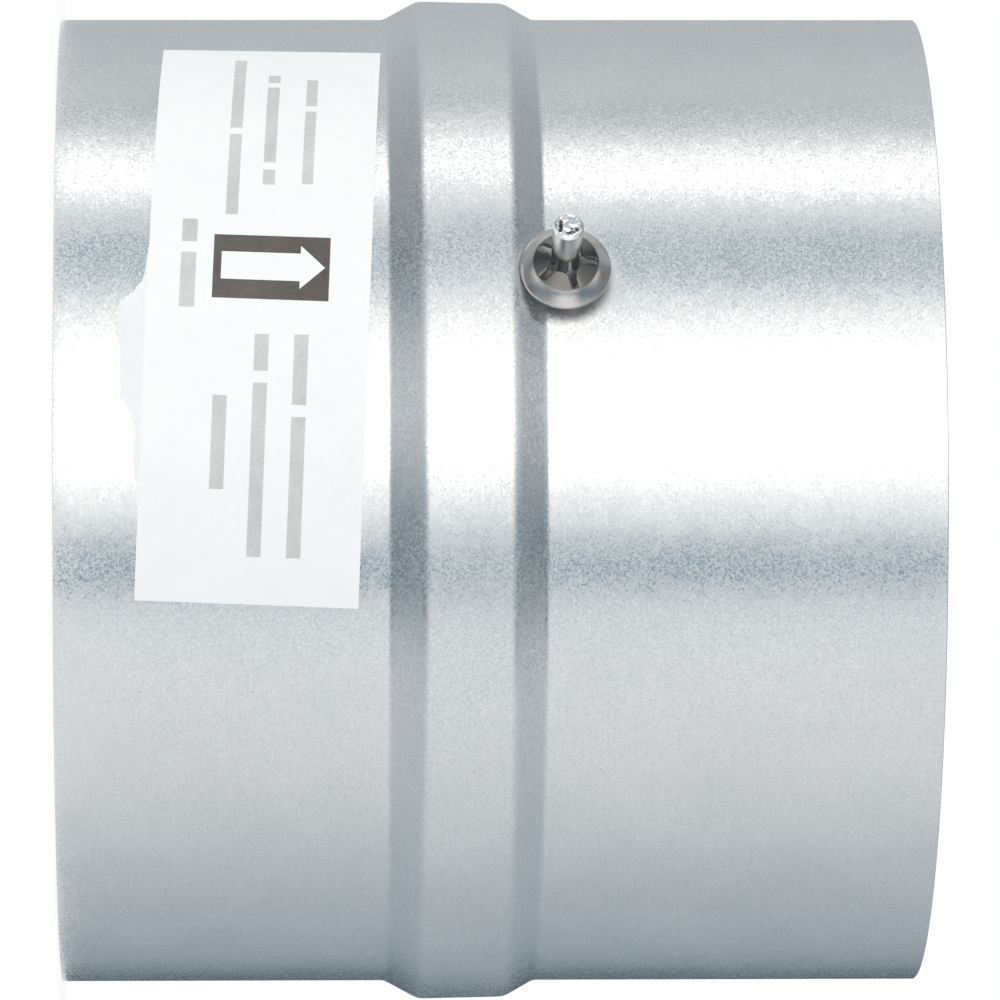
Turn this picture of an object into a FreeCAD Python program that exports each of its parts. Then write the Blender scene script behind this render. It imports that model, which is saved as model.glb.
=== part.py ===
"""Backdraft damper for a round duct of nominal 100 mm.

A short tube of rolled sheet carries a bead that stops the duct ends. A rod across the bore is the axle of two
half-round blades. Air from the inlet pushes the blades open, and a torsion spring shuts them again.

The tube's axis is +Z, which is also the direction of flow. The inlet rim stands on Z = 0, and the axle lies
along Y. Millimetres and degrees throughout.
"""

import math
import os

import FreeCAD
import Part

# Casing
spigot_diameter = 99.5
casing_length = 88.0
sheet_thickness = 0.5
bead_start = 33.3
bead_inlet_flank = 3.5
bead_crown = 8.6
bead_outlet_flank = 3.0
bead_height = 1.9
bead_crown_fall = 0.18
bead_bend_radius = 2.0

# Axle
axle_diameter = 3.0
axle_past_bead = 2.1
axle_overhang = 10.5
axle_chamfer = 0.3
axle_hole_clearance = 0.05

# Toothed washers that grip the axle's ends
washer_diameter = 9.0
washer_ring_width = 1.3
washer_thickness = 0.3
washer_dome_height = 1.1
washer_dome_bulge = 0.06
washer_tooth_rise = 0.6
washer_tooth_count = 5
washer_slot_width = 0.75
washer_turn = -18.0
washer_bead_gap = 0.05

# Blades
blade_thickness = 0.5
blade_lean = 15.0
blade_wall_gap = 0.35
blade_corner_cut = 2.0
knuckle_clearance = 0.06
knuckle_wrap = 285.0
knuckle_side_gap = 0.5
knuckle_end_gap = 3.0
knuckle_swing_gap = 0.5

# Return spring
wire_diameter = 0.7
coil_clearance = 0.35
coil_turns = 5
coil_pitch = 1.5
coil_side_gap = 2.0
spring_leg_length = 18.0
spring_foot_length = 4.0
spring_bend_radius = 1.2
spring_touch_gap = 0.04

# Paper label and the torn remnant of an older one
label_width = 22.0
label_height = 67.5
label_thickness = 0.1
label_tilt = 2.3
label_shift = -0.5
label_bead_gap = 0.1
label_glue = 0.05
remnant_thickness = 0.05
remnant_width = 2.9
remnant_length = 26.3
remnant_offset = -3.0

# Worked out from the sizes above
spigot_radius = spigot_diameter / 2
bore_radius = spigot_radius - sheet_thickness
bead_end = bead_start + bead_inlet_flank + bead_crown + bead_outlet_flank
axle_radius = axle_diameter / 2
axle_height = bead_end + axle_past_bead
axle_half_length = spigot_radius + axle_overhang
knuckle_inner = axle_radius + knuckle_clearance
knuckle_outer = knuckle_inner + blade_thickness
wire_radius = wire_diameter / 2
coil_radius = axle_radius + coil_clearance + wire_radius
coil_room = coil_turns * coil_pitch / 2 + wire_radius + coil_side_gap

origin = FreeCAD.Vector(0, 0, 0)
along_x = FreeCAD.Vector(1, 0, 0)
along_y = FreeCAD.Vector(0, 1, 0)
along_z = FreeCAD.Vector(0, 0, 1)
axle_centre = FreeCAD.Vector(0, 0, axle_height)


def save(shape, node):
    """Check one piece and write it to its own file."""
    if not shape.isValid() or shape.Volume <= 0:
        raise ValueError(node + " is not a sound solid")
    print(node, "solids", len(shape.Solids), "volume", round(shape.Volume, 2))
    shape.exportStep("parts/" + node + ".step")


def chain(points):
    """Straight edges from each point to the next."""
    return [Part.makeLine(start, end) for start, end in zip(points, points[1:])]


def rounded_chain(points, radius):
    """Straight edges through the points, with an arc of the given radius at every inner corner."""
    edges = []
    start = points[0]
    for before, corner, after in zip(points, points[1:], points[2:]):
        back = (before - corner).normalize()
        ahead = (after - corner).normalize()
        half_angle = back.getAngle(ahead) / 2
        tangent = radius / math.tan(half_angle)
        to_centre = (back + ahead).normalize() * (radius / math.sin(half_angle))
        middle = corner + to_centre - to_centre * (radius / to_centre.Length)
        arc_start = corner + back * tangent
        arc_end = corner + ahead * tangent
        edges.append(Part.makeLine(start, arc_start))
        edges.append(Part.Arc(arc_start, middle, arc_end).toShape())
        start = arc_end
    edges.append(Part.makeLine(start, points[-1]))
    return edges


def make_casing():
    """The tube: the sheet's section, with its bead, turned round the axis and pierced for the axle."""
    crown_start = bead_start + bead_inlet_flank
    crown_end = crown_start + bead_crown
    crown_radius = bore_radius + bead_height
    inside = [
        FreeCAD.Vector(bore_radius, 0, 0),
        FreeCAD.Vector(bore_radius, 0, bead_start),
        FreeCAD.Vector(crown_radius, 0, crown_start),
        FreeCAD.Vector(crown_radius - bead_crown_fall, 0, crown_end),
        FreeCAD.Vector(bore_radius, 0, bead_end),
        FreeCAD.Vector(bore_radius, 0, casing_length),
    ]
    line = Part.Wire(rounded_chain(inside, bead_bend_radius))
    section = line.makeOffset2D(-sheet_thickness, fill=True, openResult=True)
    tube = section.revolve(origin, along_z, 360)
    hole_start = axle_centre - along_y * spigot_diameter
    hole = Part.makeCylinder(axle_radius + axle_hole_clearance, 2 * spigot_diameter, hole_start, along_y)
    return tube.cut(hole)


def make_axle():
    """The rod across the bore, chamfered at both ends."""
    rod = Part.makeCylinder(axle_radius, 2 * axle_half_length, axle_centre - along_y * axle_half_length, along_y)
    end_rims = [edge for edge in rod.Edges if edge.Closed]
    return rod.makeChamfer(axle_chamfer, end_rims)


def make_washer():
    """A domed ring with teeth that bite on the axle. It is drawn on Z and opens towards +Z."""
    rim_radius = washer_diameter / 2
    root_radius = rim_radius - washer_ring_width
    rim = FreeCAD.Vector(rim_radius, 0, 0)
    root = FreeCAD.Vector(root_radius, 0, washer_dome_height)
    tip = FreeCAD.Vector(axle_radius, 0, washer_dome_height + washer_tooth_rise)
    bulge = FreeCAD.Vector(1, 0, 1).normalize() * washer_dome_bulge
    dome = Part.Arc(rim, (rim + root) * 0.5 + bulge, root).toShape()
    lift = along_z * washer_thickness
    lower = [dome, Part.makeLine(root, tip)]
    upper = [edge.translated(lift) for edge in lower]
    ends = [Part.makeLine(rim, rim + lift), Part.makeLine(tip, tip + lift)]
    section = Part.Face(Part.Wire(Part.sortEdges(lower + upper + ends)[0]))
    ring = section.revolve(origin, along_z, 360)
    tall = 2 * (washer_dome_height + washer_tooth_rise) + washer_thickness
    slots = []
    for number in range(washer_tooth_count):
        straight = Part.makeBox(root_radius, washer_slot_width, tall, along_y * (-washer_slot_width / 2))
        round_end = Part.makeCylinder(washer_slot_width / 2, tall, along_x * root_radius)
        slot = straight.fuse(round_end)
        slot.rotate(origin, along_z, washer_turn + (number + 0.5) * 360 / washer_tooth_count)
        slots.append(slot)
    return ring.cut(slots)


def place_washer(side):
    """Push the washer on the axle's end until its rim is just clear of the bead's flank.

    side is -1 at the front and 1 at the rear.
    """
    washer = make_washer()
    washer.rotate(origin, along_x, -90 * side)
    flank_slope = (bead_height - bead_crown_fall) / bead_outlet_flank
    over_flank = max(0, washer_diameter / 2 - axle_past_bead)
    flank_height = over_flank * flank_slope + sheet_thickness * (math.hypot(1, flank_slope) - 1)
    seat = spigot_radius + min(flank_height, bead_height) + washer_bead_gap
    washer.translate(axle_centre + along_y * (side * seat))
    return washer


def knuckle_spans():
    """The two stretches of the axle that one blade's knuckles take, leaving room for the spring."""
    outer_end = bore_radius - knuckle_end_gap
    length = (outer_end - coil_room - knuckle_side_gap) / 2
    inner = (coil_room, coil_room + length)
    outer = (-outer_end, -outer_end + length)
    return [outer, inner]


def make_blade():
    """One blade in the shut place on the +X side.

    It is drawn flat, with the axle along Y through the origin and the sheet just upstream of it, and then
    leaned downstream. Its rim is the oval that the leaning sheet cuts from the bore.
    """
    lean = math.radians(blade_lean)
    rim_radius = bore_radius - blade_wall_gap
    oval_centre = -knuckle_outer * math.tan(lean)
    oval_length = rim_radius / math.cos(lean)
    swing_radius = max(knuckle_outer, coil_radius + wire_radius) + knuckle_swing_gap
    setback = math.sqrt(swing_radius**2 - knuckle_inner**2)
    half_turn = math.acos((setback + blade_corner_cut - oval_centre) / oval_length)
    corner = rim_radius * math.sin(half_turn) - blade_corner_cut

    def on_sheet(out, along):
        return FreeCAD.Vector(out, along, -knuckle_outer)

    oval = Part.Ellipse(on_sheet(oval_centre, 0), oval_length, rim_radius)
    rim = Part.ArcOfEllipse(oval, -half_turn, half_turn).toShape()
    hinge_edge = [rim.Vertexes[0].Point, on_sheet(setback, -corner)]
    for span_start, span_end in knuckle_spans():
        hinge_edge += [on_sheet(setback, span_start), on_sheet(0, span_start)]
        hinge_edge += [on_sheet(0, span_end), on_sheet(setback, span_end)]
    hinge_edge += [on_sheet(setback, corner), rim.Vertexes[1].Point]
    outline = Part.Wire(Part.sortEdges([rim] + chain(hinge_edge))[0])
    blade = Part.Face(outline).extrude(along_z * blade_thickness)

    for span_start, span_end in knuckle_spans():
        span = span_end - span_start
        roll = Part.makeCylinder(knuckle_outer, span, along_y * span_start, along_y, knuckle_wrap)
        roll = roll.cut(Part.makeCylinder(knuckle_inner, span, along_y * span_start, along_y))
        roll.rotate(origin, along_y, 180)
        blade = blade.fuse(roll)
    blade = blade.removeSplitter()
    blade.rotate(origin, along_y, -blade_lean)
    blade.translate(axle_centre)
    return blade


def make_spring():
    """The torsion spring: a coil round the axle, and from each end a leg that presses a foot on one blade.

    It is drawn with the coil along Z, as seen from the front with X to the right and the flow upwards.
    """
    foot_height = knuckle_inner - wire_radius - spring_touch_gap
    leg_drop = math.atan(coil_radius / spring_leg_length)
    leg_drop += math.asin(foot_height / math.hypot(coil_radius, spring_leg_length))
    past_top = math.radians(blade_lean) - leg_drop
    turns = coil_turns - past_top / math.pi
    half_coil = turns * coil_pitch / 2
    climb = coil_pitch / (2 * math.pi * coil_radius)

    coil = Part.makeHelix(coil_pitch, 2 * half_coil, coil_radius)
    coil.translate(along_z * -half_coil)
    coil.rotate(origin, along_z, 90 + math.degrees(past_top))

    def leg(side):
        """Points from the coil's end to the foot's tip. side is 1 on the +X blade and -1 on the other."""
        coil_end = FreeCAD.Vector(-side * math.sin(past_top), math.cos(past_top), 0) * coil_radius
        coil_end.z = -side * half_coil
        away = FreeCAD.Vector(side * math.cos(past_top), math.sin(past_top), -side * climb)
        knee = coil_end + away * spring_leg_length
        return [coil_end, knee, knee - along_z * (side * spring_foot_length)]

    first_leg = rounded_chain(leg(1)[::-1], spring_bend_radius)
    last_leg = rounded_chain(leg(-1), spring_bend_radius)
    wire_section = Part.Wire(Part.makeCircle(wire_radius, leg(1)[-1], along_z))
    spring = Part.Wire(first_leg + coil.Edges + last_leg).makePipeShell([wire_section], True, False)
    spring.rotate(origin, along_x, 90)
    spring.translate(axle_centre)
    return spring


def paper(outline, thickness):
    """A paper piece stuck on the casing. The outline's points are (round the front, up the casing) in mm."""
    wall = Part.Cylinder()
    wall.Radius = spigot_radius + label_glue
    turned = [FreeCAD.Base.Vector2d(around / wall.Radius - math.pi / 2, up) for around, up in outline]
    edges = []
    for start, end in zip(turned, turned[1:] + turned[:1]):
        edges.append(Part.Geom2d.Line2dSegment(start, end).toShape(wall))
    sheet = Part.Face(wall, Part.Wire(edges))
    return sheet.makeOffsetShape(thickness, 1e-4, fill=True)


def on_label(around, up):
    """A place on the label, from its middle, as a place on the casing."""
    tilt = math.radians(label_tilt)
    reach = label_width / 2 * math.cos(tilt) + label_height / 2 * math.sin(tilt)
    foot_round = bead_bend_radius * math.tan(math.atan2(bead_height, bead_inlet_flank) / 2)
    middle = bead_start - foot_round - label_bead_gap - reach
    turned_around = around * math.cos(tilt) + up * math.sin(tilt)
    turned_up = up * math.cos(tilt) - around * math.sin(tilt)
    return label_shift + turned_around, middle + turned_up


def make_label():
    """The printed label: a tilted rectangle of paper."""
    half_width = label_width / 2
    half_height = label_height / 2
    corners = [(-half_height, -half_width), (half_height, -half_width)]
    corners += [(half_height, half_width), (-half_height, half_width)]
    return paper([on_label(*corner) for corner in corners], label_thickness)


def make_remnant():
    """The torn scrap along the label's inlet-side edge, drawn in shares of its length and width."""
    edge = -label_width / 2
    torn = [(0.0, 0.0), (0.16, 0.14), (0.22, 0.45), (0.26, 0.93), (0.36, 1.0), (0.46, 0.8)]
    torn += [(0.63, 0.76), (0.69, 0.38), (0.78, 0.2), (0.89, 0.24), (1.0, 0.0)]
    outline = []
    for along, out in torn:
        outline.append(on_label(remnant_offset + along * remnant_length, edge - out * remnant_width))
    return paper(outline, remnant_thickness)


os.makedirs("parts", exist_ok=True)
blade_right = make_blade()
blade_left = blade_right.copy()
blade_left.rotate(origin, along_z, 180)

save(make_casing(), "casing")
save(make_axle(), "axle")
save(place_washer(-1), "retaining_washer_front")
save(place_washer(1), "retaining_washer_rear")
save(blade_left, "blade_left")
save(blade_right, "blade_right")
save(make_spring(), "return_spring")
save(make_label(), "flow_label")
save(make_remnant(), "label_remnant")
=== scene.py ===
import math
import random

import bmesh
import bpy
from mathutils import Matrix, Vector, noise


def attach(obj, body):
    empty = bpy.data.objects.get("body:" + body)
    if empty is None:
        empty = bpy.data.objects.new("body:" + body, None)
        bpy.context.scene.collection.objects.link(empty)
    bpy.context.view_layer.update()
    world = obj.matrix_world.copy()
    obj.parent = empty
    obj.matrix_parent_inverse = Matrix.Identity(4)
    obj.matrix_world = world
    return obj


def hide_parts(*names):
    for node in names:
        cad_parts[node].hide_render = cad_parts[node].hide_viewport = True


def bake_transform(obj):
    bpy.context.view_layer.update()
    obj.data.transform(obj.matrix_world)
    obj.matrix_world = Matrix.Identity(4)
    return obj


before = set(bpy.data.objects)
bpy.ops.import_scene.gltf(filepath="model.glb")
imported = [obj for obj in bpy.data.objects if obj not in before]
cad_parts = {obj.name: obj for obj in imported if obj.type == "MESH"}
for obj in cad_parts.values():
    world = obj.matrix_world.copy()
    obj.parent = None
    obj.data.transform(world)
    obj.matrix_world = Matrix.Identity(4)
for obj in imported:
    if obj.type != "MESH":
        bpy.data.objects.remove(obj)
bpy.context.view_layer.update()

# Casing: a strip of galvanised sheet rolled into a tube, with a weld along the back.
# The bead is rolled in afterwards, and the axle's two holes are punched next to it.
# Lengths are in millimetres here and below, and MM turns them into metres.
MM = 0.001
bore_radius = 49.25
sheet = 0.5
casing_length = 88.0
axle_height = 50.5
hole_radius = 1.55
rim_round = 0.06
bend_radius = 2.0
bend_steps = 8
wall_step = 2.5
casing_segments = 360
hole_half_cells = 2
inside_corners = [
    (bore_radius, 0.0),
    (bore_radius, 33.3),
    (51.15, 36.8),
    (50.97, 45.4),
    (bore_radius, 48.4),
    (bore_radius, casing_length),
]


def put(tree, kind, inputs=None, **settings):
    """Adds a shader node. An input that is a socket is linked, and any other value is set."""
    made = tree.nodes.new("ShaderNode" + kind)
    for name, value in settings.items():
        setattr(made, name, value)
    for name, value in (inputs or {}).items():
        if isinstance(value, bpy.types.NodeSocket):
            tree.links.new(value, made.inputs[name])
        else:
            made.inputs[name].default_value = value
    return made


def math_of(tree, operation, first, second=0.0):
    """The result socket of a math node on two values or sockets."""
    return put(tree, "Math", {0: first, 1: second}, operation=operation).outputs[0]


def vector_of(tree, operation, first, second=(0.0, 0.0, 0.0)):
    """The result socket of a vector math node on two vectors or sockets."""
    return put(tree, "VectorMath", {0: first, 1: second}, operation=operation).outputs[0]


def spread(tree, value, low, high, start=0.0, end=1.0):
    """A value between start and end, mapped to between low and high."""
    inputs = {"Value": value, "From Min": start, "From Max": end, "To Min": low, "To Max": high}
    return put(tree, "MapRange", inputs).outputs["Result"]


def new_metal(name, roughness):
    """A metal material with its node tree and shader."""
    material = bpy.data.materials.new(name)
    material.use_nodes = True
    shader = material.node_tree.nodes["Principled BSDF"]
    shader.inputs["Metallic"].default_value = 1.0
    shader.inputs["Roughness"].default_value = roughness
    return material, material.node_tree, shader


def new_piece(name, shape, materials, sharp_degrees=35.0):
    """An object from a bmesh, shaded smooth up to the given angle."""
    bmesh.ops.recalc_face_normals(shape, faces=shape.faces)
    mesh = bpy.data.meshes.new(name)
    shape.to_mesh(mesh)
    shape.free()
    mesh.shade_smooth()
    mesh.set_sharp_from_angle(angle=math.radians(sharp_degrees))
    for material in materials:
        mesh.materials.append(material)
    piece = bpy.data.objects.new(name, mesh)
    bpy.context.scene.collection.objects.link(piece)
    return piece


def rolled_line(corners, radius, steps):
    """The sheet's inside line, as straight runs with two ends and arcs of points, all with their headings."""
    runs = []
    headings = []
    for start, end in zip(corners, corners[1:]):
        headings.append(math.atan2(end[1] - start[1], end[0] - start[0]))
    run_start = Vector(corners[0])
    for number, corner in enumerate(corners[1:-1]):
        before, after = headings[number], headings[number + 1]
        turn = after - before
        hand = math.copysign(radius, turn)
        ahead = Vector((math.cos(before), math.sin(before)))
        arc_start = Vector(corner) - ahead * radius * math.tan(abs(turn) / 2)
        centre = arc_start + Vector((-ahead.y, ahead.x)) * hand
        runs.append(("line", run_start, arc_start, before))
        arc = []
        for step in range(steps + 1):
            heading = before + turn * step / steps
            along = Vector((math.cos(heading), math.sin(heading)))
            arc.append((centre - Vector((-along.y, along.x)) * hand, heading))
        runs.append(("arc", arc))
        run_start = arc[-1][0]
    runs.append(("line", run_start, Vector(corners[-1]), headings[-1]))
    return runs


sheet_line = []
hole_row = 0
for run in rolled_line(inside_corners, bend_radius, bend_steps):
    if run[0] == "arc":
        sheet_line += run[1]
        continue
    start, end, heading = run[1:]
    if end.y == casing_length:
        hole_row = len(sheet_line) - 1
        half = axle_height - start.y
        stations = [axle_height + half * share for share in (-0.5, 0.0, 0.5, 1.0)]
        count = round((casing_length - stations[-1]) / wall_step)
        top = stations[-1]
        stations += [top + (casing_length - rim_round - top) * step / count for step in range(1, count + 1)]
    elif start.y == 0.0:
        count = round(end.y / wall_step)
        stations = [rim_round + (end.y - rim_round) * step / count for step in range(count)]
    else:
        stations = [start.y + (end.y - start.y) * step / 4 for step in range(1, 4)]
    for height in stations:
        share = (height - start.y) / (end.y - start.y)
        sheet_line.append((start.lerp(end, share), heading))

section = [point for point, heading in sheet_line]
rim_radii = [bore_radius + rim_round, bore_radius + sheet - rim_round]
section += [Vector((radius, casing_length)) for radius in rim_radii]
for point, heading in reversed(sheet_line):
    section.append(point + Vector((math.sin(heading), -math.cos(heading))) * sheet)
section += [Vector((radius, 0.0)) for radius in reversed(rim_radii)]
inner_hole_rows = [hole_row + step for step in range(5)]
outer_hole_rows = [2 * len(sheet_line) + 1 - row for row in inner_hole_rows]

shape = bmesh.new()
rings = []
for segment in range(casing_segments):
    turn = 2 * math.pi * segment / casing_segments
    ring = []
    for point in section:
        spot = Vector((point.x * math.cos(turn), point.x * math.sin(turn), point.y))
        ring.append(shape.verts.new(spot * MM))
    rings.append(ring)
hole_segments = [casing_segments // 4, 3 * casing_segments // 4]
inner_cells = set(inner_hole_rows[:-1])
outer_cells = set(outer_hole_rows[1:])
for segment in range(casing_segments):
    near_hole = any(-hole_half_cells <= segment - middle < hole_half_cells for middle in hole_segments)
    ring, next_ring = rings[segment], rings[(segment + 1) % casing_segments]
    for row in range(len(section)):
        if near_hole and (row in inner_cells or row in outer_cells):
            continue
        after = (row + 1) % len(section)
        shape.faces.new((ring[row], next_ring[row], next_ring[after], ring[after]))


def hole_border(middle, rows):
    """The vertices round the gap that is left for a hole, in order."""
    first, last = middle - hole_half_cells, middle + hole_half_cells
    border = [rings[segment][rows[0]] for segment in range(first, last)]
    border += [rings[last][row] for row in rows[:-1]]
    border += [rings[segment][rows[-1]] for segment in range(last, first, -1)]
    border += [rings[first][row] for row in reversed(rows[1:])]
    return border


for middle in hole_segments:
    side = 1 if middle == hole_segments[0] else -1
    edges_of_hole = []
    for rows, radius in ((inner_hole_rows, bore_radius), (outer_hole_rows, bore_radius + sheet)):
        border = hole_border(middle, rows)
        edge = []
        for corner in border:
            angle = math.atan2(corner.co.z / MM - axle_height, corner.co.x / MM)
            out = hole_radius * math.cos(angle)
            deep = side * math.sqrt(radius**2 - out**2)
            spot = Vector((out, deep, axle_height + hole_radius * math.sin(angle)))
            edge.append(shape.verts.new(spot * MM))
        for number in range(len(border)):
            after = (number + 1) % len(border)
            shape.faces.new((border[number], border[after], edge[after], edge[number]))
        edges_of_hole.append(edge)
    inner_edge, outer_edge = edges_of_hole
    for number in range(len(inner_edge)):
        after = (number + 1) % len(inner_edge)
        shape.faces.new((inner_edge[number], inner_edge[after], outer_edge[after], outer_edge[number]))

# The zinc sets in crystals that each lean and shine a little differently.
zinc_roughness = 0.245
crystal_dulling = 0.15
cloud_dulling = 0.02
dark_zinc = (0.38, 0.42, 0.45, 1.0)
light_zinc = (0.97, 0.98, 0.98, 1.0)
fine_crystals_per_metre = 5600.0
fine_lean_share = 0.30
large_crystals_per_metre = 1100.0
large_lean_share = 0.015
drift_per_metre = 1400.0
drift_length = 0.4
waves_per_metre = 45.0
wave_height = 0.06
clouds_per_metre = 130.0
rolled_radius = 50.0
streak_stretch = (350.0, 2600.0, 1.0)
crystal_tone_swing = 0.05
soft_tone_swing = 0.03
noise_range = (0.3, 0.7)
mid_grey = (0.5, 0.5, 0.5)
galvanised, tree, shader = new_metal("galvanised_steel", zinc_roughness)
place = put(tree, "TexCoord").outputs["Object"]
drift = put(tree, "TexNoise", {"Vector": place, "Scale": drift_per_metre, "Detail": 2.0}).outputs["Color"]
drift = vector_of(tree, "SUBTRACT", drift, mid_grey)
drift = vector_of(tree, "MULTIPLY", drift, (drift_length * MM,) * 3)
drifted = vector_of(tree, "ADD", place, drift)
fine_look = {"Vector": drifted, "Scale": fine_crystals_per_metre}
fine_crystals = put(tree, "TexVoronoi", fine_look).outputs["Color"]
large_look = {"Vector": drifted, "Scale": large_crystals_per_metre}
large_crystals = put(tree, "TexVoronoi", large_look).outputs["Color"]
fine_lean = vector_of(tree, "SUBTRACT", fine_crystals, mid_grey)
fine_lean = vector_of(tree, "MULTIPLY", fine_lean, vector_of(tree, "MULTIPLY", fine_lean, fine_lean))
fine_lean = vector_of(tree, "MULTIPLY", fine_lean, (fine_lean_share,) * 3)
large_lean = vector_of(tree, "SUBTRACT", large_crystals, mid_grey)
large_lean = vector_of(tree, "MULTIPLY", large_lean, (large_lean_share,) * 3)
tilt = vector_of(tree, "ADD", fine_lean, large_lean)
faceted = vector_of(tree, "ADD", put(tree, "NewGeometry").outputs["Normal"], tilt)
faceted = vector_of(tree, "NORMALIZE", faceted)
waves = put(tree, "TexNoise", {"Vector": place, "Scale": waves_per_metre, "Detail": 2.0}).outputs["Fac"]
bump = put(tree, "Bump", {"Height": waves, "Distance": wave_height * MM, "Strength": 0.5, "Normal": faceted})
tree.links.new(bump.outputs["Normal"], shader.inputs["Normal"])
apart = put(tree, "SeparateXYZ", {0: place})
turn = math_of(tree, "ARCTAN2", apart.outputs["X"], apart.outputs["Y"])
unrolled = math_of(tree, "MULTIPLY", turn, rolled_radius * MM)
unrolled = put(tree, "CombineXYZ", {"X": unrolled, "Y": apart.outputs["Z"]}).outputs[0]
stretched = vector_of(tree, "MULTIPLY", unrolled, streak_stretch)
streaks = put(tree, "TexNoise", {"Vector": stretched, "Scale": 1.0, "Detail": 3.0}).outputs["Fac"]
clouds = put(tree, "TexNoise", {"Vector": place, "Scale": clouds_per_metre, "Detail": 3.0}).outputs["Fac"]
crystal_parts = put(tree, "SeparateColor", {0: fine_crystals}).outputs
crystal_tone, crystal_dullness = crystal_parts[0], crystal_parts[1]
tone = spread(tree, crystal_tone, -crystal_tone_swing, crystal_tone_swing)
for soft_noise in (streaks, clouds):
    soft_tone = spread(tree, soft_noise, -soft_tone_swing, soft_tone_swing, *noise_range)
    tone = math_of(tree, "ADD", tone, soft_tone)
zinc = put(tree, "ValToRGB", {"Fac": math_of(tree, "ADD", tone, 0.5)})
zinc.color_ramp.elements[0].color = dark_zinc
zinc.color_ramp.elements[1].color = light_zinc

# The weld's heat burns the zinc away beside the seam, which is then ground flush.
weld_turn = math.radians(32.0)
weld_half_width = 0.6
weld_core_share = 0.7
heated_half_width = 2.0
weld_waver = 0.25
burnt_zinc = (0.42, 0.41, 0.40, 1.0)
bare_weld = (0.72, 0.71, 0.69, 1.0)
burnt_roughness = 0.4
from_weld = math_of(tree, "ABSOLUTE", math_of(tree, "SUBTRACT", turn, weld_turn))
from_weld = math_of(tree, "MULTIPLY", from_weld, (bore_radius + sheet) * MM)
waver = spread(tree, clouds, -weld_waver * MM, weld_waver * MM, *noise_range)
from_weld = math_of(tree, "ADD", from_weld, waver)
heated = spread(tree, from_weld, 1.0, 0.0, weld_half_width * MM, heated_half_width * MM)
welded = spread(tree, from_weld, 1.0, 0.0, weld_core_share * weld_half_width * MM, weld_half_width * MM)
burnt = put(tree, "Mix", {"Factor": heated, 6: zinc.outputs["Color"], 7: burnt_zinc}, data_type="RGBA")
seam = put(tree, "Mix", {"Factor": welded, 6: burnt.outputs[2], 7: bare_weld}, data_type="RGBA")

# Handling leaves a few scratches, each with its turn round the tube in degrees, its height,
# its slant in degrees and half of its length. Fine pits are left from the zinc bath.
scratches = [
    (150.9, 69.3, 45.0, 1.9),
    (48.0, 74.5, 14.0, 4.5),
    (-24.0, 20.0, 63.0, 3.2),
    (-95.0, 62.0, -8.0, 3.8),
    (-70.0, 66.0, 35.0, 4.0),
    (24.0, 20.0, -52.0, 5.0),
]
scratch_half_width = 0.09
scratch_core_share = 0.4
scratch_taper_start = 0.5
pits_per_metre = 600.0
pit_share = 0.7
pit_core = 0.04
pit_edge = 0.09
mark_strength = 0.4
worn_zinc = (0.34, 0.36, 0.38, 1.0)
scratched = 0.0
for around, height, slant, half_length in scratches:
    aside = math_of(tree, "SUBTRACT", turn, math.radians(around))
    aside = math_of(tree, "MULTIPLY", aside, (bore_radius + sheet) * MM)
    above = math_of(tree, "SUBTRACT", apart.outputs["Z"], height * MM)
    line = put(tree, "CombineXYZ", {"X": aside, "Y": above}).outputs[0]
    line = put(tree, "VectorRotate", {"Vector": line, "Angle": math.radians(slant)}, rotation_type="Z_AXIS")
    line = put(tree, "SeparateXYZ", {0: vector_of(tree, "ABSOLUTE", line.outputs[0])}).outputs
    drawn_out = spread(tree, line["X"], 1.0, 0.0, scratch_taper_start * half_length * MM, half_length * MM)
    core = scratch_core_share * scratch_half_width
    thin = spread(tree, line["Y"], 1.0, 0.0, core * MM, scratch_half_width * MM)
    scratched = math_of(tree, "MAXIMUM", scratched, math_of(tree, "MULTIPLY", drawn_out, thin))
pits = put(tree, "TexVoronoi", {"Vector": place, "Scale": pits_per_metre}).outputs
pit_draw = put(tree, "SeparateColor", {0: pits["Color"]}).outputs[0]
pitted = math_of(tree, "GREATER_THAN", pit_draw, 1.0 - pit_share)
pitted = math_of(tree, "MULTIPLY", pitted, spread(tree, pits["Distance"], 1.0, 0.0, pit_core, pit_edge))
marks = math_of(tree, "MULTIPLY", math_of(tree, "MAXIMUM", scratched, pitted), mark_strength)
worn = put(tree, "Mix", {"Factor": marks, 6: seam.outputs[2], 7: worn_zinc}, data_type="RGBA")
tree.links.new(worn.outputs[2], shader.inputs["Base Color"])

# The bead is duller where it was stretched, and the punch leaves a dull ring round each hole.
bead_foot = 50.6
bead_top = 51.3
bead_dulling = 0.045
press_mark_radius = 4.9
press_mark_fade = 1.8
press_mark_roughness = 0.42
press_mark_swing = 0.12
dullness = spread(tree, crystal_dullness, zinc_roughness - crystal_dulling, zinc_roughness + crystal_dulling)
cloudiness = spread(tree, clouds, -cloud_dulling, cloud_dulling, *noise_range)
dullness = math_of(tree, "ADD", dullness, cloudiness)
from_axis = put(tree, "CombineXYZ", {"X": apart.outputs["X"], "Y": apart.outputs["Y"]}).outputs[0]
from_axis = put(tree, "VectorMath", {0: from_axis}, operation="LENGTH").outputs["Value"]
stretched_zinc = spread(tree, from_axis, 0.0, bead_dulling, bead_foot * MM, bead_top * MM)
dullness = math_of(tree, "ADD", dullness, stretched_zinc)
across_hole = math_of(tree, "POWER", apart.outputs["X"], 2.0)
along_hole = math_of(tree, "POWER", math_of(tree, "SUBTRACT", apart.outputs["Z"], axle_height * MM), 2.0)
from_hole = math_of(tree, "SQRT", math_of(tree, "ADD", across_hole, along_hole))
press_mark_edge = press_mark_radius + press_mark_fade
press_mark = spread(tree, from_hole, 1.0, 0.0, press_mark_radius * MM, press_mark_edge * MM)
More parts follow.
